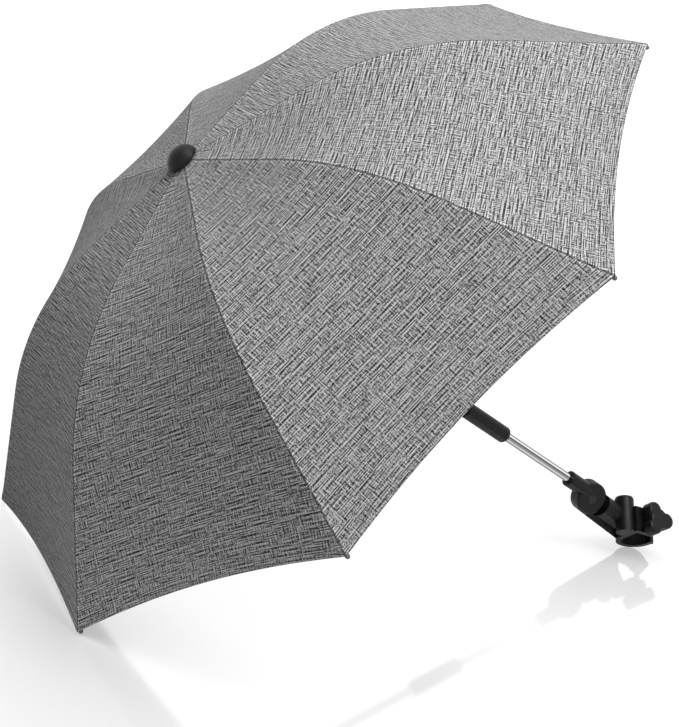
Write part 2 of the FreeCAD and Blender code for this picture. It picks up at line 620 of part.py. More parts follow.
def make_lower_shaft():
    """Make the lower tube, the lock sleeve and the holder on the clamp's swivel."""
    end = "mouth_below + holder_depth - plug_gap"
    tube = turned("lower_tube_body", [
        ("tube_d / 2 - tube_wall", f"-({end})"), ("tube_d / 2", f"-({end})"),
        ("tube_d / 2", "-(knuckle_reach + collar_len)"),
        ("tube_d / 2 - tube_wall", "-(knuckle_reach + collar_len)")])
    node(tube, "lower_tube", LOWER)

    bore = "tube_d / 2 + slide_gap"
    sleeve = turned("lock_sleeve_body", [
        (bore, "-(sleeve_below + sleeve_len)"),
        ("sleeve_d / 2 - sleeve_round * 0.9", "-(sleeve_below + sleeve_len)"),
        ("sleeve_d / 2 - sleeve_round * 0.5", "-(sleeve_below + sleeve_len - sleeve_round * 0.15)"),
        ("sleeve_d / 2 - sleeve_round * 0.15", "-(sleeve_below + sleeve_len - sleeve_round * 0.5)"),
        ("sleeve_d / 2", "-(sleeve_below + sleeve_len - sleeve_round)"),
        ("sleeve_d / 2", "-sleeve_below"),
        (bore, "-sleeve_below")])
    node(sleeve, "lock_sleeve", LOWER)

    side = V(0, 1, 0)
    gap = size("disc_gap") / 2
    width = size("disc_w")
    clear = SWIVEL_BELOW - size("swivel_r") - size("disc_gap")
    post = cylinder("holder_post", "holder_d / 2", "holder_reach - swivel_r - disc_gap",
                    V(0, 0, -clear))
    root = cylinder("holder_root", "holder_d / 2", "swivel_r + disc_gap", V(0, 0, -SWIVEL_BELOW))
    near = box("holder_near", "holder_d", "holder_d / 2 - disc_gap / 2", "swivel_r + disc_gap",
               V(-size("holder_d") / 2, -size("holder_d") / 2, -SWIVEL_BELOW))
    half_root = DOC.addObject("Part::Common", "holder_half_root")
    half_root.Base = root
    half_root.Tool = near
    disc = rounded_post("holder_disc", "swivel_r", "disc_w", V(-DROP, -gap, -SWIVEL_BELOW), -side)
    solid = fuse("holder_solid", [post, half_root, disc])
    socket = cylinder("holder_bore", "tube_d / 2 + plug_gap", "holder_depth",
                      V(0, 0, -size("mouth_below") - size("holder_depth")))
    hole = cylinder("holder_bolt_hole", "bolt_d / 2 + slide_gap", "holder_d + 2 * bolt_d",
                    V(-DROP, -size("holder_d"), -SWIVEL_BELOW), side)
    sink = cylinder("holder_bolt_sink", "bolt_head_d / 2 + slide_gap",
                    "holder_d + bolt_head_h + slide_gap",
                    V(-DROP, -gap - width - size("holder_d"), -SWIVEL_BELOW), side)
    node(cut("holder_cut", solid, [socket, hole, sink]), "holder", LOWER)


def tipped(obj):
    """Turn a solid of the clamp's frame from level into the axes of the seat."""
    obj.Placement = TIPPED.multiply(obj.Placement)
    return obj


def make_clamp():
    """Make the clamp: frame, liner, swivel bolt and nut, moving jaw, screw and knob."""
    side = V(0, 1, 0)
    up = V(0, 0, 1)
    half = size("frame_w") / 2
    inner = size("seat_r") + size("liner_wall")
    gap = size("disc_gap") / 2
    hub = CLAMP.inverse().multVec(SWIVEL)
    reach = hub.Length
    aim = V(hub.x / reach, 0, hub.z / reach)
    ring = "seat_r + liner_wall + frame_wall"

    hook = tipped(cylinder("frame_hook", ring, "frame_w", V(0, -half, 0), side))
    disc = cylinder("frame_disc", "swivel_r", "disc_w", V(hub.x, gap, hub.z), side)
    plate = bind(DOC.addObject("Part::Wedge", "frame_plate"),
                 Xmin="-neck_r", Xmax=ring, X2min="-neck_r", X2max="swivel_r",
                 Zmax="disc_w", Z2max="disc_w")
    plate.Ymin = 0.0
    plate.Ymax = reach
    plate.Zmin = 0.0
    plate.Z2min = 0.0
    plate.Placement = at(V(0, gap, 0), FreeCAD.Rotation(aim.cross(side), aim, side, "XYZ"))
    neck = bind(DOC.addObject("Part::Cylinder", "frame_neck"), Radius="neck_r")
    neck.Height = reach - size("swivel_r") - size("neck_gap")
    neck.Placement = at(V(), FreeCAD.Rotation(up, aim))
    column = tipped(box("frame_column", "frame_wall", "frame_w", "arm_below + arm_h",
                        V(-RING, -half, 0)))
    boss = tipped(rounded_post("frame_boss", "boss_r", "0.5 * frame_w + boss_top",
                               V(-size("boss_out"), -half, size("boss_rise")), side))
    arm = tipped(box("frame_arm", ring, "frame_w", "arm_h", V(-RING, -half, size("arm_below"))))
    nose = tipped(cylinder("frame_nose", "frame_w / 2", "arm_h", V(0, 0, size("arm_below"))))
    lip = tipped(box("frame_lip", "frame_wall", "frame_w", "lip_rise", V(inner, -half, 0)))
    lip_end = tipped(cylinder("frame_lip_end", "lip_r", "frame_w",
                              V(inner + size("frame_wall") / 2, -half, size("lip_rise")), side))
    solid = fuse("frame_solid",
                 [hook, disc, plate, neck, column, boss, arm, nose, lip, lip_end])
    far = half + 2 * RING
    long = f"frame_w + 4 * ({ring})"
    seat = tipped(cylinder("frame_seat", "seat_r + liner_wall", long, V(0, -far, 0), side))
    mouth = tipped(box("frame_mouth", "2 * (seat_r + liner_wall)", long, "arm_below",
                       V(-inner, -far, 0)))
    notch = tipped(box("frame_notch", f"2 * ({ring})", long, "arm_below - lip_rise - lip_r",
                       V(0, -far, size("lip_rise") + size("lip_r"))))
    bolt_hole = cylinder("frame_bolt_hole", "bolt_d / 2 + plug_gap", "frame_w",
                         V(hub.x, -half, hub.z), side)
    screw_hole = tipped(cylinder("frame_screw_hole", "screw_d / 2 + screw_gap", "arm_h + 2",
                                 V(0, 0, size("arm_below") - 1), up))
    node(cut("frame_cut", solid, [seat, mouth, notch, bolt_hole, screw_hole]), "clamp_frame", CLAMP)

    tube = cylinder("liner_outer", "seat_r + liner_wall", "frame_w", V(0, -half, 0), side)
    free = cylinder("liner_inner", "seat_r", "frame_w + 2", V(0, -half - 1, 0), side)
    over = box("liner_over", "4 * seat_r", "frame_w + 2", "2 * seat_r",
               V(-2 * size("seat_r"), -half - 1, 0))
    node(cut("liner_cut", tube, [free, over]), "seat_liner", SEAT)

    near = -gap - size("disc_w") + size("bolt_head_h")
    far = gap + size("disc_w") + size("nut_h")
    shank = cylinder("bolt_shank", "bolt_d / 2", "disc_w", V(hub.x, near, hub.z), side)
    shank.setExpression("Height", None)
    shank.Height = far - near
    head = cylinder("bolt_head", "bolt_head_d / 2", "bolt_head_h",
                    V(hub.x, -gap - size("disc_w"), hub.z), side)
    node(fuse("bolt_solid", [shank, head]), "swivel_bolt", CLAMP)
    hexagon = bind(DOC.addObject("Part::Prism", "nut_prism"),
                   Circumradius="nut_w / 2 / cos(30 deg)", Height="nut_h")
    hexagon.Polygon = 6
    hexagon.Placement = at(V(hub.x, gap + size("disc_w"), hub.z), FreeCAD.Rotation(up, side))
    thread = cylinder("nut_thread", "bolt_d / 2", "nut_h + 2",
                      V(hub.x, gap + size("disc_w") - 1, hub.z), side)
    node(cut("nut_cut", hexagon, [thread]), "swivel_nut", CLAMP)

    foot = size("seat_r") + size("pad_gap")
    jaw = cylinder("jaw_disc", "pad_r", "pad_h", V(0, 0, foot), up)
    node(jaw, "moving_jaw", SEAT)
    low = foot + size("pad_h")
    top = size("arm_below") + size("arm_h") + size("knob_rise")
    screw = cylinder("screw_rod", "screw_d / 2", "arm_h", V(0, 0, low), up)
    screw.setExpression("Height", None)
    screw.Height = top + size("knob_h") / 2 - low
    node(screw, "clamp_screw", SEAT)

    hub_post = rounded_post("knob_hub", "knob_hub_r", "knob_h")
    posts = [hub_post]
    for index in range(LOBES):
        turn = math.tau * index / LOBES
        spot = V(math.cos(turn), math.sin(turn), 0) * size("lobe_out")
        posts.append(rounded_post(f"knob_lobe_{index + 1}", "lobe_r", "knob_h", spot))
    bore = cylinder("knob_bore", "screw_d / 2", "knob_h / 2")
    node(cut("knob_cut", fuse("knob_solid", posts), [bore]), "knob", SEAT.multiply(at(V(0, 0, top))))


def check_and_write():
    """Stop on any failed object, then write each sub-part to its own file."""
    DOC.recompute()
    for obj in DOC.Objects:
        if "Invalid" in obj.State or "Error" in obj.State:
            raise RuntimeError(f"{obj.Name} failed: {obj.State}")
    os.makedirs("parts", exist_ok=True)
    low = V(1e9, 1e9, 1e9)
    high = V(-1e9, -1e9, -1e9)
    for obj in NODES:
        shape = obj.Shape
        if shape.isNull() or not shape.isValid() or len(shape.Solids) != 1:
            raise RuntimeError(f"{obj.Label} is not one valid solid: {len(shape.Solids)}")
        shape.exportStep(f"parts/{obj.Label}.step")
        bounds = shape.optimalBoundingBox()
        low = V(min(low.x, bounds.XMin), min(low.y, bounds.YMin), min(low.z, bounds.ZMin))
        high = V(max(high.x, bounds.XMax), max(high.y, bounds.YMax), max(high.z, bounds.ZMax))
    print("sub-parts", len(NODES))
    print("low", [round(c, 2) for c in low], "high", [round(c, 2) for c in high])
    print("rise", round(math.degrees(RISE), 4), "apex", [round(c, 3) for c in APEX],
          "joint", [round(c, 3) for c in JOINT])
    print("hinge", [round(c, 3) for c in HINGE], "pin", [round(c, 3) for c in PIN],
          "runner", round(RUNNER_Z, 3), "tip", [round(c, 3) for c in TIP], "floor", FLOOR)


make_canopy_top()
make_runner()
for rib_index in range(RIBS):
    make_rib(rib_index)
    make_stretcher(rib_index)
    make_gore(rib_index)
make_tilt_joint()
make_lower_shaft()
make_clamp()
check_and_write()
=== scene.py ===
"""A pram parasol lying on a pale floor: cloth canopy, chrome shaft, black tube clamp."""

import json
import logging
import math
from dataclasses import dataclass, field
from enum import Enum

import bpy
import numpy as np
from mathutils import Matrix, Quaternion, Vector

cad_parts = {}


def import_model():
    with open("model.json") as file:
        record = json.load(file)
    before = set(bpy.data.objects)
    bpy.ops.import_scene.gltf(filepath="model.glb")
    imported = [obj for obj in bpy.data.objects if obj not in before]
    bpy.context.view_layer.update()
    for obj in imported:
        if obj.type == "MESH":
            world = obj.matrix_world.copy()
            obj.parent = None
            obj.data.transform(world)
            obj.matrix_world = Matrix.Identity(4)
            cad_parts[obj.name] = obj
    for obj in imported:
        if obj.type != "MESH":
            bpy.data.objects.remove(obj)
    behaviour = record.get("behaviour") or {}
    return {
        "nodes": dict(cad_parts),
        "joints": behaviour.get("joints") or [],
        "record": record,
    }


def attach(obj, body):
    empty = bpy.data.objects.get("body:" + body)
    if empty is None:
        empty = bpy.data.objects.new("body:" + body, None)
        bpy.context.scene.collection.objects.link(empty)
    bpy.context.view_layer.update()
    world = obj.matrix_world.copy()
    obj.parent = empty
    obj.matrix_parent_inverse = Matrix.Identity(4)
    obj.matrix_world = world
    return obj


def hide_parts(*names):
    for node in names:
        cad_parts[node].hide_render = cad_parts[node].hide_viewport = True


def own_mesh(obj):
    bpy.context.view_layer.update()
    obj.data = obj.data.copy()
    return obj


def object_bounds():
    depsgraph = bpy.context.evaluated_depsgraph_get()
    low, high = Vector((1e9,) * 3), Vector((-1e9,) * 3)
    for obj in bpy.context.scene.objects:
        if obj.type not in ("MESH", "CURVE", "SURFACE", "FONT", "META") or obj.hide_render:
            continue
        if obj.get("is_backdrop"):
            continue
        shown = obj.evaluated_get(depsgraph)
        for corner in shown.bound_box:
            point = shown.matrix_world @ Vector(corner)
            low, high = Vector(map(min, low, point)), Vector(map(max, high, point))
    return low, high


LOG = logging.getLogger("parasol")
RIBS = 8
HALF = math.pi / RIBS
# From the low rib tip to the middle of the part of the floor that mirrors it and carries painted
# shade, in metres.
TIP_MIRROR_SHIFT = Vector((0.10, -0.06, 0.0))
# Each panel is cut from another place of the woven cloth: across it and along it, in metres.
FIRST_CUT = (2.0, 1.0)
NEXT_CUT = (1.3, 0.7)
SHARP_EDGE = math.radians(50)

Point = tuple[float, float, float]
Colour = tuple[float, float, float, float]


class Slot(Enum):
    """The record's material slots."""

    CLOTH = "canopy_cloth"
    STEEL = "frame_steel"
    TIP = "tip_plastic"
    CHROME = "chrome_tube"
    BLACK = "black_plastic"
    RUBBER = "liner_rubber"
    BLACK_STEEL = "black_steel"


class Effect(Enum):
    """Shader effects that are laid as node groups."""

    THREADS = "thread_weave"
    SEWING = "sewn_edges"
    GRAIN = "moulded_grain"


class NodeMaker:
    """Lays shader nodes into one node tree."""

    def __init__(self, tree: bpy.types.NodeTree) -> None:
        """Start in a tree.

        Args:
            tree: the node tree that the nodes go into.
        """
        self.tree = tree
        self.count = 0

    def add(self, kind: str, **values: object) -> bpy.types.Node:
        """Add one node.

        Args:
            kind: the node's type name, without the ShaderNode prefix.
            values: properties of the node.

        Returns:
            The new node.
        """
        name = kind if kind.startswith("Node") else "ShaderNode" + kind
        made = self.tree.nodes.new(name)
        made.location = (200 * (self.count % 12), -220 * (self.count // 12))
        self.count += 1
        for key, value in values.items():
            setattr(made, key, value)
        return made

    def feed(self, socket: bpy.types.NodeSocket, value: object) -> None:
        """Set a socket to a plain value, or link another socket to it.

        Args:
            socket: the input socket.
            value: a number, a colour, a vector or an output socket.
        """
        if isinstance(value, bpy.types.NodeSocket):
            self.tree.links.new(value, socket)
        else:
            socket.default_value = value

    def math(self, operation: str, *values: object) -> bpy.types.NodeSocket:
        """Add a Math node.

        Args:
            operation: its operation, such as MULTIPLY.
            values: up to three numbers or sockets.

        Returns:
            The node's output socket.
        """
        made = self.add("Math", operation=operation)
        for socket, value in zip(made.inputs, values):
            self.feed(socket, value)
        return made.outputs[0]

    def vector(self, x: object, y: object, z: object = 0.0) -> bpy.types.NodeSocket:
        """Combine three values into a vector and return its socket."""
        made = self.add("CombineXYZ")
        for socket, value in zip(made.inputs, (x, y, z)):
            self.feed(socket, value)
        return made.outputs[0]

    def noise(self, place: object, scale: float, detail: float = 2.0,
              rough: float = 0.55) -> bpy.types.NodeSocket:
        """Add a noise texture.

        Args:
            place: the socket that gives the place.
            scale: waves per unit of the place.
            detail: octaves of finer noise.
            rough: the share of the finer octaves.

        Returns:
            The socket of the noise's value, from 0 to 1.
        """
        made = self.add("TexNoise")
        self.feed(made.inputs["Vector"], place)
        made.inputs["Scale"].default_value = scale
        made.inputs["Detail"].default_value = detail
        made.inputs["Roughness"].default_value = rough
        return made.outputs["Fac"]

    def band(self, value: object, low: float, high: float, from_: float = 0.0,
             to: float = 1.0, smooth: bool = True) -> bpy.types.NodeSocket:
        """Map a value's range low..high onto from_..to, clamped.

        Args:
            value: the socket to map.
            low: start of the range.
            high: end of the range.
            from_: result at low.
            to: result at high.
            smooth: ease in and out of the range.

        Returns:
            The mapped socket.
        """
        made = self.add("MapRange")
        made.interpolation_type = "SMOOTHSTEP" if smooth else "LINEAR"
        for socket, number in zip(made.inputs, (value, low, high, from_, to)):
            self.feed(socket, number)
        return made.outputs[0]

    def mix(self, share: object, first: object, second: object) -> bpy.types.NodeSocket:
        """Mix two values.

        Args:
            share: 0 gives first, 1 gives second.
            first: a number or a socket.
            second: a number or a socket.

        Returns:
            The mixed socket.
        """
        made = self.add("Mix", data_type="FLOAT")
        for socket, value in zip((made.inputs[0], made.inputs[2], made.inputs[3]),
                                 (share, first, second)):
            self.feed(socket, value)
        return made.outputs[0]

    def distance(self, place: object, point: Point) -> bpy.types.NodeSocket:
        """Return the distance of a place from a fixed point."""
        made = self.add("VectorMath", operation="DISTANCE")
        self.feed(made.inputs[0], place)
        made.inputs[1].default_value = point
        return made.outputs["Value"]

    def pair(self, thread: object) -> bpy.types.NodeSocket:
        """Return the number of the pair that a thread is in."""
        return self.math("FLOOR", self.math("DIVIDE", thread, 2.0))

    def turned(self, thread: object, tone: object) -> bpy.types.NodeSocket:
        """Turn the tone of every other thread round, so that a pair has a light and a dark one.

        Args:
            thread: the thread's number.
            tone: the pair's tone, from 0 to 1.

        Returns:
            The socket of the thread's own tone.
        """
        odd = self.math("FLOORED_MODULO", thread, 2.0)
        return self.mix(odd, tone, self.math("SUBTRACT", 1.0, tone))

    def rounded(self, count: object) -> bpy.types.NodeSocket:
        """Return the round height of threads side by side, over a count of threads."""
        wave = self.math("SINE", self.math("MULTIPLY", count, math.pi))
        return self.math("ABSOLUTE", wave)

    def stripe(self, value: object, at: float, full: float, end: float) -> bpy.types.NodeSocket:
        """Return 1 on a line and 0 away from it.

        Args:
            value: the socket of the place across the line.
            at: the line's place.
            full: distance from the line up to which it is full.
            end: distance from the line at which it ends.

        Returns:
            The socket of the stripe.
        """
        off = self.math("ABSOLUTE", self.math("SUBTRACT", value, at))
        return self.math("SUBTRACT", 1.0, self.band(off, full, end))

    def pucker(self, place: object, scale: float, fade: object) -> bpy.types.NodeSocket:
        """Return the waves of gathered cloth, between -0.5 and 0.5 times a fade."""
        wave = self.noise(place, scale, 1.0)
        return self.math("MULTIPLY", self.math("SUBTRACT", wave, 0.5), fade)

    def ramp(self, value: object, stops: list[tuple[float, Colour]]) -> bpy.types.NodeSocket:
        """Turn a value into a colour.

        Args:
            value: the socket that picks the colour.
            stops: places from 0 to 1 with their colours.

        Returns:
            The colour's socket.
        """
        made = self.add("ValToRGB")
        line = made.color_ramp.elements
        line[0].position, line[0].color = stops[0]
        line[1].position, line[1].color = stops[-1]
        for place, colour in stops[1:-1]:
            line.new(place).color = colour
        self.feed(made.inputs[0], value)
        return made.outputs["Color"]

    def group(self, effect: Effect, **inputs: object) -> bpy.types.Node:
        """Place a shared effect.

        Args:
            effect: which effect.
            inputs: its named inputs, with _ for a space.

        Returns:
            The group node.
        """
        made = self.add("Group", node_tree=bpy.data.node_groups[effect.value])
        for name, value in inputs.items():
            self.feed(made.inputs[name.replace("_", " ")], value)
        return made


def new_group(effect: Effect, inputs: dict[str, str], outputs: list[str]) -> tuple[
        NodeMaker, bpy.types.Node, bpy.types.Node]:
    """Start a shader node group.

    Args:
        effect: the group's name.
        inputs: input names with their socket types.
        outputs: names of the value outputs.

    Returns:
        The maker in the group's tree, its input node and its output node.
    """
    tree = bpy.data.node_groups.new(effect.value, "ShaderNodeTree")
    for name, kind in inputs.items():
        tree.interface.new_socket(name, in_out="INPUT", socket_type=kind)
    for name in outputs:
        tree.interface.new_socket(name, in_out="OUTPUT", socket_type="NodeSocketFloat")
    maker = NodeMaker(tree)
    return maker, maker.add("NodeGroupInput"), maker.add("NodeGroupOutput")


def make_thread_weave() -> None:
    """Build the plain weave of slubbed threads, over a place in metres on the cloth.

    The threads lie in pairs of a light and a dark one; a weft thread has a tone of its own too.
    """
    weft_step, warp_step, own_step = 7.31, 5.17, 3.77
    weft_slubs, warp_slubs = 0.65, 1.3
    warp_layer, own_layer, speck_layer = 40.0, 80.0, 9.0
    own_share = 0.2
    warp_under, warp_over = 0.24, 0.44
    speck_scale, speck_share = 0.93, 0.2
    maker, given, out = new_group(
        Effect.THREADS, {"Weave": "NodeSocketVector", "Pitch": "NodeSocketFloat",
                         "Slub": "NodeSocketFloat"}, ["Shade", "Height"])
    split = maker.add("SeparateXYZ")
    maker.feed(split.inputs[0], given.outputs["Weave"])
    across, along = split.outputs[0], split.outputs[1]
    pitch, slub = given.outputs["Pitch"], given.outputs["Slub"]
    picks = maker.math("DIVIDE", along, pitch)
    ends = maker.math("DIVIDE", across, pitch)
    pick, end = maker.math("FLOOR", picks), maker.math("FLOOR", ends)
    run_across = maker.math("DIVIDE", across, slub)
    run_along = maker.math("DIVIDE", along, slub)
    weft_row = maker.math("MULTIPLY", maker.pair(pick), weft_step)
    warp_row = maker.math("MULTIPLY", maker.pair(end), warp_step)
    own_row = maker.math("MULTIPLY", pick, own_step)
    weft = maker.noise(maker.vector(run_across, weft_row), weft_slubs, 1.0, 0.5)
    warp = maker.noise(maker.vector(warp_row, run_along, warp_layer), warp_slubs, 1.0, 0.5)
    own = maker.noise(maker.vector(run_across, own_row, own_layer), weft_slubs, 1.0, 0.5)
    weft = maker.mix(own_share, maker.turned(pick, weft), own)
    warp = maker.turned(end, warp)
    over = maker.math("FLOORED_MODULO", maker.math("ADD", pick, end), 2.0)
    thread = maker.mix(maker.mix(over, warp_under, warp_over), weft, warp)
    speck = maker.noise(maker.vector(ends, picks, speck_layer), speck_scale, 0.0)
    speck = maker.math("MULTIPLY", maker.math("SUBTRACT", speck, 0.5), speck_share)
    maker.feed(out.inputs["Shade"], maker.math("ADD", thread, speck))
    maker.feed(out.inputs["Height"], maker.mix(over, maker.rounded(picks), maker.rounded(ends)))


def make_sewn_edges() -> None:
    """Build the seam line on a rib with a painted highlight beside it, and the stitched hem, over
    the distances to both in metres.
    """
    seam_core, seam_end = 0.0005, 0.0012
    lit_at, lit_gain = 0.0021, 1.3
    hem_edge_tone, stitch_tone = 0.62, 0.8
    row_at, stitch_length = 0.0062, 0.0034
    seam_reach, hem_reach, hem_share = 0.016, 0.014, 0.7
    seam_waves, hem_waves, fade_waves = 150.0, 160.0, 120.0
    maker, given, out = new_group(
        Effect.SEWING, {"Edges": "NodeSocketVector", "Weave": "NodeSocketVector"},
        ["Shade", "Height"])
    split = maker.add("SeparateXYZ")
    maker.feed(split.inputs[0], given.outputs["Edges"])
    seam, hem = split.outputs[0], split.outputs[1]
    place = maker.add("SeparateXYZ")
    maker.feed(place.inputs[0], given.outputs["Weave"])
    across, along = place.outputs[0], place.outputs[1]
    fade = maker.band(maker.noise(maker.vector(0.0, along, 3.0), fade_waves, 2.0),
                      0.3, 0.6, 0.1, 0.5)
    line = maker.mix(maker.band(seam, seam_core, seam_end), fade, 1.0)
    # Painted highlight: a light line beside the seam, as if the raised seam caught the light.
    lit = maker.stripe(seam, lit_at, 0.0004, 0.0010)
    line = maker.math("MULTIPLY", line, maker.mix(lit, 1.0, lit_gain))
    edge = maker.band(hem, 0.0002, 0.0012, hem_edge_tone, 1.0)
    row = maker.stripe(hem, row_at, 0.0003, 0.0007)
    step = maker.math("SINE", maker.math("MULTIPLY", across, 2 * math.pi / stitch_length))
    stitch = maker.math("MULTIPLY", row, maker.band(step, -0.4, 0.2))
    shade = maker.math("MULTIPLY", line, edge)
    shade = maker.math("MULTIPLY", shade, maker.mix(stitch, 1.0, stitch_tone))
    near_seam = maker.band(seam, 0.0, seam_reach, 1.0, 0.0)
    near_hem = maker.band(hem, 0.0, hem_reach, 1.0, 0.0)
    at_seam = maker.pucker(maker.vector(0.0, along, 0.0), seam_waves, near_seam)
    at_hem = maker.pucker(maker.vector(across, 0.0, 0.0), hem_waves, near_hem)
    height = maker.math("ADD", at_seam, maker.math("MULTIPLY", at_hem, hem_share))
    maker.feed(out.inputs["Shade"], shade)
    maker.feed(out.inputs["Height"], height)


def make_moulded_grain() -> None:
    """Build the fine skin of moulded plastic and rubber, with faint handling marks."""
    maker, given, out = new_group(
        Effect.GRAIN, {"Place": "NodeSocketVector", "Grain": "NodeSocketFloat"},
        ["Height", "Marks"])
    grain = maker.add("TexNoise")
    maker.feed(grain.inputs["Vector"], given.outputs["Place"])
    maker.feed(grain.inputs["Scale"], given.outputs["Grain"])
    grain.inputs["Detail"].default_value = 3.0
    marks = maker.noise(given.outputs["Place"], 60.0, 5.0, 0.65)
    maker.feed(out.inputs["Height"], grain.outputs["Fac"])
    maker.feed(out.inputs["Marks"], marks)


def new_material(name: str) -> tuple[NodeMaker, bpy.types.Node, bpy.types.Material]:
    """Start a material with one Principled shader.

    Args:
        name: the material's name.

    Returns:
        The maker in its tree, the shader node and the material.
    """
    made = bpy.data.materials.new(name)
    made.use_nodes = True
    made.node_tree.nodes.clear()
    maker = NodeMaker(made.node_tree)
    shader = maker.add("BsdfPrincipled")
    out = maker.add("OutputMaterial")
    maker.feed(out.inputs["Surface"], shader.outputs[0])
    return maker, shader, made


def add_bump(maker: NodeMaker, shader: bpy.types.Node, height: object, strength: float,
             distance: float, below: object = None) -> bpy.types.NodeSocket:
    """Add a bump to a shader's normal.

    Args:
        maker: the maker in the material's tree.
        shader: the shader whose normal is bumped.
        height: the socket of the height.
        strength: share of the bump.
        distance: height of the bump in metres.
        below: the socket of a normal that is already bumped.

    Returns:
        The bumped normal's socket.
    """
    bump = maker.add("Bump")
    bump.inputs["Strength"].default_value = strength
    bump.inputs["Distance"].default_value = distance
    maker.feed(bump.inputs["Height"], height)
    if below is not None:
        maker.feed(bump.inputs["Normal"], below)
    maker.feed(shader.inputs["Normal"], bump.outputs[0])
    return bump.outputs[0]


def grey(level: float, warmth: float = 0.0) -> Colour:
    """Return an opaque grey, a little warmer or cooler."""
    return (level * (1 + warmth), level, level * (1 - warmth), 1.0)


@dataclass(frozen=True)
class WovenCloth:
    """The grey linen-look cloth of the canopy."""

    name: str = "grey_linen_weave"
    pitch: float = 0.00088
    slub: float = 0.013
    dark: float = 0.03
    pale: float = 0.80
    rough: float = 0.88
    shine: float = 0.25
    sheen: float = 0.12
    sheen_rough: float = 0.5

    def build(self) -> bpy.types.Material:
        """Make the material and return it."""
        maker, shader, made = new_material(self.name)
        weave = maker.add("UVMap", uv_map="weave").outputs[0]
        edges = maker.add("UVMap", uv_map="edges").outputs[0]
        threads = maker.group(Effect.THREADS, Weave=weave, Pitch=self.pitch, Slub=self.slub)
        sewing = maker.group(Effect.SEWING, Edges=edges, Weave=weave)
        colour = maker.ramp(threads.outputs["Shade"], [
            (0.42, grey(self.dark, -0.01)), (0.46, grey(0.15, -0.008)), (0.50, grey(0.38, -0.004)),
            (0.535, grey(0.63)), (0.58, grey(self.pale))])
        sewn = maker.add("Mix", data_type="RGBA", blend_type="MULTIPLY")
        sewn.inputs[0].default_value = 1.0
        maker.feed(sewn.inputs[6], colour)
        maker.feed(sewn.inputs[7], sewing.outputs["Shade"])
        maker.feed(shader.inputs["Base Color"], sewn.outputs[2])
        shader.inputs["Roughness"].default_value = self.rough
        shader.inputs["Specular IOR Level"].default_value = self.shine
        shader.inputs["Sheen Weight"].default_value = self.sheen
        shader.inputs["Sheen Roughness"].default_value = self.sheen_rough
        puckers = add_bump(maker, shader, sewing.outputs["Height"], 0.5, 0.0012)
        add_bump(maker, shader, threads.outputs["Height"], 0.35, 0.00018, puckers)
        return made


@dataclass(frozen=True)
class MouldedSkin:
    """A moulded plastic or rubber surface."""

    name: str
    tone: float
    rough: float
    grain: float = 1400.0
    depth: float = 0.00004
    shine: float = 0.5

    def build(self) -> bpy.types.Material:
        """Make the material and return it."""
        maker, shader, made = new_material(self.name)
        place = maker.add("TexCoord").outputs["Object"]
        skin = maker.group(Effect.GRAIN, Place=place, Grain=self.grain)
        marks = skin.outputs["Marks"]
        colour = maker.ramp(marks, [(0.3, grey(self.tone * 0.8)), (0.7, grey(self.tone * 1.25))])
        maker.feed(shader.inputs["Base Color"], colour)
        rough = maker.band(marks, 0.3, 0.75, self.rough - 0.05, self.rough + 0.07)
        maker.feed(shader.inputs["Roughness"], rough)
        shader.inputs["Specular IOR Level"].default_value = self.shine
        add_bump(maker, shader, skin.outputs["Height"], 0.4, self.depth)
        return made


def drawn_lines(maker: NodeMaker, place: bpy.types.NodeSocket,
                axis: Point) -> bpy.types.NodeSocket:
    """Add the fine lines that drawing leaves along a tube or a wire.

    Args:
        maker: the maker in the material's tree.
        place: the socket of the place.
        axis: the direction of the lines.

    Returns:
        The socket of the lines' value, from 0 to 1.
    """
    lines_per_metre, stretch = 1600.0, 0.02
    turn = maker.add("Mapping")
    lean = Vector(axis).to_track_quat("Z", "Y").inverted().to_euler()
    turn.inputs["Rotation"].default_value = lean
    turn.inputs["Scale"].default_value = (1.0, 1.0, stretch)
    maker.feed(turn.inputs["Vector"], place)
    return maker.noise(turn.outputs[0], lines_per_metre, 2.0)


@dataclass(frozen=True)
class DrawnMetal:
    """A drawn and plated wire."""

    name: str
    tone: float
    rough: float
    axis: Point
    streak: float = 0.03

    def build(self) -> bpy.types.Material:
        """Make the material and return it."""
        maker, shader, made = new_material(self.name)
        place = maker.add("TexCoord").outputs["Object"]
        lines = drawn_lines(maker, place, self.axis)
        spots = maker.noise(place, 45.0, 4.0, 0.6)
        colour = maker.ramp(spots, [(0.3, grey(self.tone * 0.93)), (0.7, grey(self.tone))])
        maker.feed(shader.inputs["Base Color"], colour)
        shader.inputs["Metallic"].default_value = 1.0
        rough = maker.math("ADD", maker.band(lines, 0.3, 0.7, self.rough, self.rough + self.streak),
                           maker.band(spots, 0.5, 0.8, 0.0, 0.04))
        maker.feed(shader.inputs["Roughness"], rough)
        return made


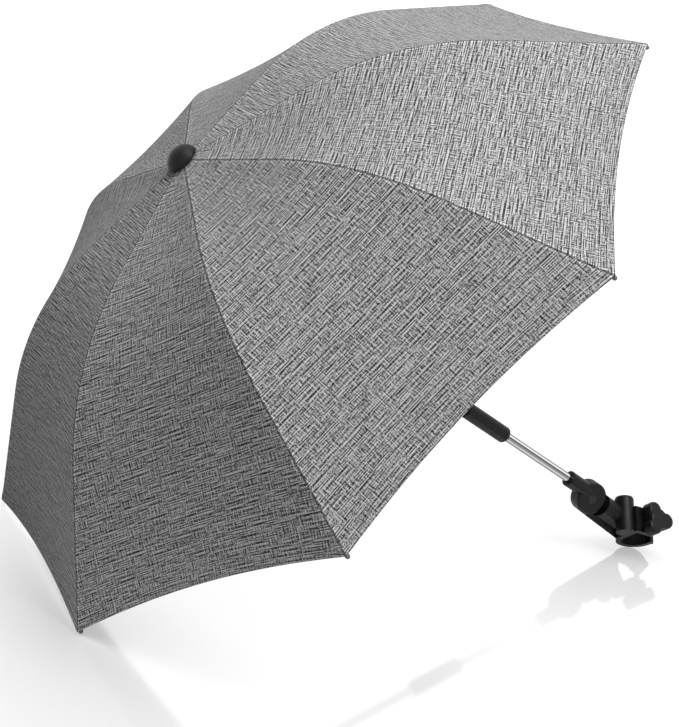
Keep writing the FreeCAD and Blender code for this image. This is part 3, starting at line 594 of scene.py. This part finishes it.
@dataclass(frozen=True)
class PaintedReflectionTube:
    """A bright tube with a painted reflection: its colour runs in dark and white bands by which way
    the surface faces, standing in for a studio with dark cards beside its white light.
    """

    name: str
    axis: Point
    painted_reflection_up: Point
    rough: float = 0.08
    streak: float = 0.04

    def build(self) -> bpy.types.Material:
        """Make the material and return it."""
        maker, shader, made = new_material(self.name)
        coords = maker.add("TexCoord")
        facing = maker.add("VectorMath", operation="DOT_PRODUCT")
        maker.feed(facing.inputs[0], coords.outputs["Normal"])
        facing.inputs[1].default_value = self.painted_reflection_up
        # Painted reflection: dark lines, a white band and a grey band, laid by the surface's angle
        # to one fixed direction.
        painted_band_place = maker.band(facing.outputs["Value"], -1.0, 1.0, 1.0, 0.0, smooth=False)
        colour = maker.ramp(painted_band_place, [
            (0.0, grey(0.04)), (0.08, grey(0.10)), (0.14, grey(0.88)), (0.27, grey(0.86)),
            (0.33, grey(0.07)), (0.44, grey(0.10)), (0.52, grey(0.30)), (0.92, grey(0.22)),
            (1.0, grey(0.5))])
        maker.feed(shader.inputs["Base Color"], colour)
        shader.inputs["Metallic"].default_value = 1.0
        lines = drawn_lines(maker, coords.outputs["Object"], self.axis)
        maker.feed(shader.inputs["Roughness"],
                   maker.band(lines, 0.3, 0.7, self.rough, self.rough + self.streak))
        return made


@dataclass(frozen=True)
class RibLine:
    """Side view of a rib's cloth: straight at the crown, bent, then straight to the hem."""

    crown_slope: float = math.radians(6.6)
    hem_slope: float = math.radians(41.1)
    bend_start: float = 0.110
    bend_radius: float = 0.270
    tip_radius: float = 0.350

    @property
    def start(self) -> float:
        """Run where the bend starts."""
        return self.bend_start / math.cos(self.crown_slope)

    @property
    def bend_end(self) -> float:
        """Run where the bend ends."""
        return self.start + self.bend_radius * (self.hem_slope - self.crown_slope)

    @property
    def end(self) -> float:
        """Run at the hem."""
        last = self.tip_radius - self.point(self.bend_end)[0]
        return self.bend_end + last / math.cos(self.hem_slope)

    def slope(self, run: float) -> float:
        """Return the slope of the line at a run, in radians."""
        bent = max(run - self.start, 0.0) / self.bend_radius
        return self.crown_slope + min(bent, self.hem_slope - self.crown_slope)

    def point(self, run: float) -> tuple[float, float]:
        """Return the distance from the shaft and the height at a run."""
        slope = self.slope(run)
        flat = min(run, self.start)
        out = flat * math.cos(self.crown_slope)
        out += self.bend_radius * (math.sin(slope) - math.sin(self.crown_slope))
        height = -flat * math.sin(self.crown_slope)
        height -= self.bend_radius * (math.cos(self.crown_slope) - math.cos(slope))
        last = max(run - self.bend_end, 0.0)
        return out + last * math.cos(slope), height - last * math.sin(slope)


@dataclass
class ShaftFrame:
    """The canopy's own frame: its origin on the crown and its Z along the shaft."""

    joints: dict[str, dict]
    joint_depth: float = 0.205
    up: Vector = field(init=False)
    apex: Vector = field(init=False)

    def __post_init__(self) -> None:
        """Read the shaft's direction and the crown's place from the joints."""
        self.up = -Vector(self.joints["runner_slide"]["axis"])
        self.apex = Vector(self.joints["tilt"]["pos_m"]) + self.up * self.joint_depth

    def rib(self, index: int) -> Matrix:
        """Return the frame of a rib: X outwards, Y sideways, Z up the shaft."""
        side = Vector(self.joints[f"rib_fold_{index + 1}"]["axis"])
        out = side.cross(self.up)
        turn = Matrix((out, side, self.up)).transposed()
        return Matrix.Translation(self.apex) @ turn.to_4x4()


@dataclass
class Canopy:
    """Eight gores of cloth, each sewn on its rib and meeting its neighbours in mid-panel."""

    frame: ShaftFrame
    line: RibLine = field(default_factory=RibLine)
    wall: float = 0.0008
    hole: float = 0.0100
    scallop: float = 0.010
    hollow: float = 0.0035
    hem: float = 0.0068
    hem_rise: float = 0.0004
    groove: float = 0.00025
    keep: float = 0.03
    rows: int = 64
    steps: int = 20
    seam_width: float = 0.0015
    seam_lines: tuple[float, ...] = (0.0, 0.0007, 0.0015, 0.0024)
    narrow: float = 0.012
    hollow_reach: float = 0.82
    scallop_power: int = 8

    def runs(self) -> list[float]:
        """Return the runs of the cloth's cross lines, finer at the hem."""
        first, last = self.hole / math.cos(self.line.crown_slope), self.line.end
        hem_line = last - self.hem
        body = np.linspace(first, hem_line - 0.003, self.rows).tolist()
        fold = [hem_line - 0.0009, hem_line + 0.0004]
        edge = np.linspace(hem_line + 0.0016, last - 0.0006, 5).tolist()
        return body + fold + edge + [last]

    def sides(self, width: float) -> list[float]:
        """Return the side offsets of a cross line from the rib, finer beside the seam."""
        fine = min(1.0, width / self.narrow)
        near = [offset * fine for offset in self.seam_lines]
        rest = np.linspace(near[-1], width, self.steps)[1:].tolist()
        return near + rest

    def spot(self, run: float, offset: float, side: int) -> tuple[Vector, Vector, float]:
        """Return one place of the cloth in the rib's frame.

        Args:
            run: distance along the rib from the crown.
            offset: distance from the rib towards the middle of the panel, over its full
                half width there.
            side: 1 or -1, the panel on either side of the rib.

        Returns:
            The point on the outer face, the face's normal, and the share of the half panel.
        """
        full = self.line.point(run)[0] * math.cos(HALF) * math.sin(HALF)
        share = min(offset / full, 1.0)
        bow = 1 - (1 - share) ** 2
        ease = run / self.line.end
        place = run - self.scallop * (ease ** self.scallop_power * bow)
        radius, height = self.line.point(place)
        width = radius * math.cos(HALF) * math.sin(HALF)
        steep = math.atan(math.tan(self.line.slope(place)) / math.cos(HALF))
        lean = side * HALF
        normal = Vector((math.sin(steep) * math.cos(lean), math.sin(steep) * math.sin(lean),
                         math.cos(steep)))
        point = Vector((radius * (1 - share * math.sin(HALF) ** 2), side * share * width, height))
        sag = self.hollow * math.sin(math.pi * min(ease * self.hollow_reach, 1.0)) * bow
        rise = self.hem_rise if self.line.end - run < self.hem else 0.0
        dip = self.groove * max(0.0, 1.0 - offset / self.seam_width) * min(1.0, full / 0.01)
        return point + normal * (rise - sag - dip), normal, share

    def gore(self, index: int) -> bpy.types.Object:
        """Build one gore as a thin closed sheet.

        Args:
            index: the rib's number, from 0.

        Returns:
            The gore's object.
        """
        runs = self.runs()
        mid = [self.line.point(run) for run in runs]
        lengths = [0.0]
        for (r0, z0), (r1, z1) in zip(mid, mid[1:]):
            lengths.append(lengths[-1] + math.hypot((r1 - r0) * math.cos(HALF), z1 - z0))
        matrix = self.frame.rib(index)
        outer, inner, weave, edges = [], [], [], []
        columns = 0
        for run, along in zip(runs, lengths):
            full = self.line.point(run)[0] * math.cos(HALF) * math.sin(HALF)
            half_panel = self.line.point(run)[0] * math.sin(HALF)
            offsets = self.sides(full)
            line = [(offset, -1) for offset in reversed(offsets)]
            line += [(offset, 1) for offset in offsets[1:]]
            columns = len(line)
            for offset, side in line:
                point, normal, share = self.spot(run, offset, side)
                if offset == 0.0:
                    other = self.spot(run, 0.0, -side)
                    point, normal = (point + other[0]) / 2, (normal + other[1]).normalized()
                outer.append(matrix @ point)
                inner.append(matrix @ (point - normal * self.wall))
                weave.append(((1 - share) * half_panel, along))
                edges.append((share * half_panel, self.line.end - run))
        return self.mesh(index, len(runs), columns, outer, inner, weave, edges)

    def mesh(self, index: int, rows: int, columns: int, outer: list[Vector],
             inner: list[Vector], weave: list[tuple[float, float]],
             edges: list[tuple[float, float]]) -> bpy.types.Object:
        """Join the two faces of a gore into one closed mesh with its cloth places.

        Args:
            index: the rib's number, from 0.
            rows: cross lines from the crown to the hem.
            columns: points on a cross line.
            outer: points of the outer face, row by row.
            inner: points of the inner face, row by row.
            weave: distance from the middle of the panel and along it, for each point.
            edges: distance from the seam and from the hem, for each point.

        Returns:
            The gore's object.
        """
        shift = rows * columns
        faces, sides = [], []
        middle = (columns - 1) // 2
        for i in range(rows - 1):
            for j in range(columns - 1):
                a, b = i * columns + j, (i + 1) * columns + j
                faces.append((a, b, b + 1, a + 1))
                faces.append((shift + a, shift + a + 1, shift + b + 1, shift + b))
                sides += [j >= middle] * 2
            for j, flip in ((0, False), (columns - 1, True)):
                a, b = i * columns + j, (i + 1) * columns + j
                ring = (a, shift + a, shift + b, b)
                faces.append(ring[::-1] if flip else ring)
                sides.append(flip)
        for i, flip in ((0, True), (rows - 1, False)):
            for j in range(columns - 1):
                a = i * columns + j
                ring = (a, shift + a, shift + a + 1, a + 1)
                faces.append(ring[::-1] if flip else ring)
                sides.append(j >= middle)
        data = bpy.data.meshes.new(f"canopy_cloth_{index + 1}")
        data.from_pydata([tuple(p) for p in outer + inner], [], faces)
        cloth_place, edge_place = data.uv_layers.new(name="weave"), data.uv_layers.new(name="edges")
        for face, positive in zip(data.polygons, sides):
            panel = index if positive else (index - 1) % RIBS
            sign = -1.0 if positive else 1.0
            for loop in face.loop_indices:
                spot = data.loops[loop].vertex_index % shift
                across, along = weave[spot]
                cloth_place.data[loop].uv = (
                    sign * across + NEXT_CUT[0] * panel + FIRST_CUT[0],
                    along + NEXT_CUT[1] * panel + FIRST_CUT[1])
                edge_place.data[loop].uv = edges[spot]
        data.polygons.foreach_set("use_smooth", [True] * len(data.polygons))
        data.set_sharp_from_angle(angle=SHARP_EDGE)
        made = bpy.data.objects.new(f"canopy_cloth_{index + 1}", data)
        bpy.context.scene.collection.objects.link(made)
        return made

    def flat_area(self) -> float:
        """Return the area of one gore's cut cloth in square metres."""
        runs = np.linspace(self.hole, self.line.end, 200)
        spots = [self.line.point(float(run)) for run in runs]
        area = 0.0
        for (r0, z0), (r1, z1) in zip(spots, spots[1:]):
            area += math.hypot((r1 - r0) * math.cos(HALF), z1 - z0) * (r0 + r1) * math.sin(HALF)
        return area

    def tip(self, index: int) -> Vector:
        """Return the corner of the cloth at a rib's tip."""
        radius, height = self.line.tip_radius, self.line.point(self.line.end)[1]
        return self.frame.rib(index) @ Vector((radius, 0.0, height))

    def build(self, cloth: bpy.types.Material) -> None:
        """Build, dress and hang the gores.

        Args:
            cloth: the cloth's material.
        """
        area = self.flat_area()
        for index in range(RIBS):
            gore = self.gore(index)
            gore.data.materials.append(cloth)
            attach(gore, f"rib_body_{index + 1}")
            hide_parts(f"canopy_gore_{index + 1}")
            self.line.end
            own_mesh(gore)
            LOG.info("%s: %d faces", gore.name, len(gore.data.polygons))


@dataclass
class Hardware:
    """The carried-over solids and their finishes."""

    nodes: dict[str, bpy.types.Object]
    slots: dict[str, str]
    shaft_axis: Point
    # The direction that the chrome's painted reflection bands are laid against.
    painted_reflection_up: Point

    def finishes(self) -> dict[Slot, bpy.types.Material]:
        """Make one material for each slot and return them by slot."""
        return {
            Slot.STEEL: DrawnMetal("plated_wire", 0.55, 0.22, self.shaft_axis, 0.08).build(),
            Slot.TIP: MouldedSkin("grey_tip_plastic", 0.30, 0.8, shine=0.1).build(),
            # The chrome's reflection bands are painted into its colour.
            Slot.CHROME: PaintedReflectionTube("painted_reflection_chrome", self.shaft_axis, self.painted_reflection_up).build(),
            Slot.BLACK: MouldedSkin("black_satin_plastic", 0.006, 0.42, shine=0.2).build(),
            Slot.RUBBER: MouldedSkin("black_liner_rubber", 0.010, 0.75, grain=900.0, depth=0.0001,
                                     shine=0.15).build(),
            Slot.BLACK_STEEL: MouldedSkin("black_steel", 0.010, 0.4, shine=0.3).build(),
        }

    def dress(self) -> None:
        """Put each solid's finish on it."""
        made = self.finishes()
        for name, solid in self.nodes.items():
            slot = Slot(self.slots[name])
            if slot not in made:
                continue
            solid.data.materials.clear()
            solid.data.materials.append(made[slot])
            LOG.info("%s: %s", name, made[slot].name)


def seen_plain(maker: NodeMaker) -> bpy.types.NodeSocket:
    """Return 1 for rays that show the surroundings: camera, mirror and glass rays."""
    path = maker.add("LightPath")
    seen = maker.math("MAXIMUM", path.outputs["Is Camera Ray"], path.outputs["Is Glossy Ray"])
    return maker.math("MAXIMUM", seen, path.outputs["Is Transmission Ray"])


@dataclass(frozen=True)
class PaleFloor:
    """A white floor that mirrors what stands on it, most near the places of contact, where its glow
    is dimmed into a painted contact shadow and painted shade.
    """

    contacts: tuple[Point, Point]
    name: str = "pale_floor"
    tone: float = 0.31
    rough: float = 0.07
    ior: float = 3.5
    mirror: float = 0.45
    least_polish: float = 0.1
    polished: float = 0.08
    dull: float = 0.34
    painted_shadow_reach: float = 0.12
    painted_shadow_full: float = 0.4
    painted_shadow_tone: float = 0.72
    glow_dull: float = 0.82
    glow_with_painted_shade: float = 0.64

    def build(self) -> bpy.types.Material:
        """Make the material and return it."""
        maker, shader, made = new_material(self.name)
        shader.inputs["Base Color"].default_value = grey(self.tone)
        shader.inputs["Roughness"].default_value = self.rough
        shader.inputs["IOR"].default_value = self.ior
        shader.inputs["Emission Color"].default_value = grey(1.0)
        # Painted shadow: an occlusion mask dims the glow where the parasol covers the floor near
        # the contacts.
        near = maker.add("AmbientOcclusion", samples=8)
        near.inputs["Distance"].default_value = self.painted_shadow_reach
        spot = maker.add("TexCoord").outputs["Object"]
        away = maker.math("MINIMUM", *(maker.distance(spot, point) for point in self.contacts))
        polish = maker.band(away, self.polished, self.dull, 1.0, self.least_polish)
        maker.feed(shader.inputs["Specular IOR Level"],
                   maker.math("MULTIPLY", polish, self.mirror))
        painted_shadow_share = maker.math("MULTIPLY", polish,
                             maker.math("SUBTRACT", 1.0, near.outputs["AO"]))
        # Painted shade: the glow is dimmer the nearer a contact, so the floor is darker round the
        # contacts.
        plain = maker.band(polish, self.least_polish, 1.0, self.glow_dull, self.glow_with_painted_shade,
                           smooth=False)
        shade = maker.band(painted_shadow_share, 0.0, self.painted_shadow_full, 1.0, self.painted_shadow_tone, smooth=False)
        glow = maker.math("MULTIPLY", plain, shade)
        maker.feed(shader.inputs["Emission Strength"],
                   maker.math("MULTIPLY", seen_plain(maker), glow))
        return made


@dataclass
class Studio:
    """Pale floor, soft lamps, white surroundings and the camera."""

    floor_height: float
    contacts: tuple[Point, Point]
    reach: float = 30.0
    fill_light: float = 0.04
    lamp_distance: float = 2.6
    sensor: float = 36.0
    lens: float = 79.913
    eye: Point = (-0.96862, -1.22656, 0.54599)
    turn: tuple[float, float, float, float] = (0.788084, 0.574565, -0.187603, -0.116634)
    centre: Point = (-0.30, 0.0, 0.18)

    def camera(self) -> None:
        """Place the camera at the photograph's angle."""
        data = bpy.data.cameras.new("camera")
        data.lens = self.lens
        data.sensor_width = self.sensor
        data.clip_start, data.clip_end = 0.01, 100.0
        made = bpy.data.objects.new("camera", data)
        made.rotation_mode = "QUATERNION"
        made.location = self.eye
        made.rotation_quaternion = Quaternion(self.turn)
        bpy.context.scene.collection.objects.link(made)
        bpy.context.scene.camera = made

    def lamp(self, name: str, way: Point, size: float, power: float) -> None:
        """Add a soft square lamp.

        Args:
            name: the lamp's name.
            way: direction from the parasol to the lamp.
            size: side of the lamp in metres.
            power: watts.
        """
        data = bpy.data.lights.new(name, "AREA")
        data.size, data.energy = size, power
        made = bpy.data.objects.new(name, data)
        away = Vector(way).normalized()
        made.location = Vector(self.centre) + away * self.lamp_distance
        made.rotation_mode = "QUATERNION"
        made.rotation_quaternion = away.to_track_quat("Z", "Y")
        bpy.context.scene.collection.objects.link(made)

    def world(self) -> None:
        """Make surroundings that are white to look at and light the parasol a little."""
        made = bpy.data.worlds.new("studio")
        made.use_nodes = True
        made.node_tree.nodes.clear()
        maker = NodeMaker(made.node_tree)
        back = maker.add("Background")
        out = maker.add("OutputWorld")
        maker.feed(out.inputs["Surface"], back.outputs[0])
        back.inputs["Color"].default_value = grey(1.0)
        maker.feed(back.inputs["Strength"], maker.mix(seen_plain(maker), self.fill_light, 1.0))
        bpy.context.scene.world = made

    def floor(self) -> None:
        """Lay the floor under the parasol."""
        corners = ((-1, -1), (1, -1), (1, 1), (-1, 1))
        data = bpy.data.meshes.new("floor")
        data.from_pydata([(x * self.reach, y * self.reach, self.floor_height) for x, y in corners],
                         [], [(0, 1, 2, 3)])
        made = bpy.data.objects.new("floor", data)
        bpy.context.scene.collection.objects.link(made)
        data.materials.append(PaleFloor(self.contacts).build())
        made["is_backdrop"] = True

    def build(self) -> None:
        """Set up the whole studio."""
        self.camera()
        self.floor()
        self.world()
        self.lamp("key_lamp", (0.25, -0.5, 0.83), size=1.2, power=33.0)
        self.lamp("fill_lamp", (-0.45, -0.85, 0.25), size=1.2, power=5.0)
        self.lamp("top_lamp", (-0.12, -0.12, 0.95), size=1.8, power=30.0)
        bpy.context.scene.view_settings.view_transform = "Standard"


def main() -> None:
    """Build the parasol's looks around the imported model."""
    logging.basicConfig(level=logging.INFO, format="%(name)s %(message)s")
    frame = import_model()
    solid_box = [list(corner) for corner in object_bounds()]
    joints = {joint["name"]: joint for joint in frame["joints"]}
    slots = {row["node"]: row["material_slot"] for row in frame["record"]["subparts"]}
    make_thread_weave()
    make_sewn_edges()
    make_moulded_grain()
    shaft = ShaftFrame(joints)
    canopy = Canopy(shaft)
    canopy.build(WovenCloth().build())
    lower = Vector(joints["sleeve_slide"]["axis"])
    # The direction that the chrome's painted reflection bands are laid against.
    painted_reflection_up = Vector((0.0, 1.0, 0.0)).cross(lower)
    Hardware(frame["nodes"], slots, tuple(lower), tuple(painted_reflection_up)).dress()
    floor_height = solid_box[0][2]
    beside_tip = canopy.tip(0) + TIP_MIRROR_SHIFT
    contacts = ((beside_tip.x, beside_tip.y, floor_height), (0.0, 0.0, floor_height))
    LOG.info("the floor mirrors most at %s", contacts)
    Studio(floor_height, contacts).build()


if __name__ == "__main__":
    main()
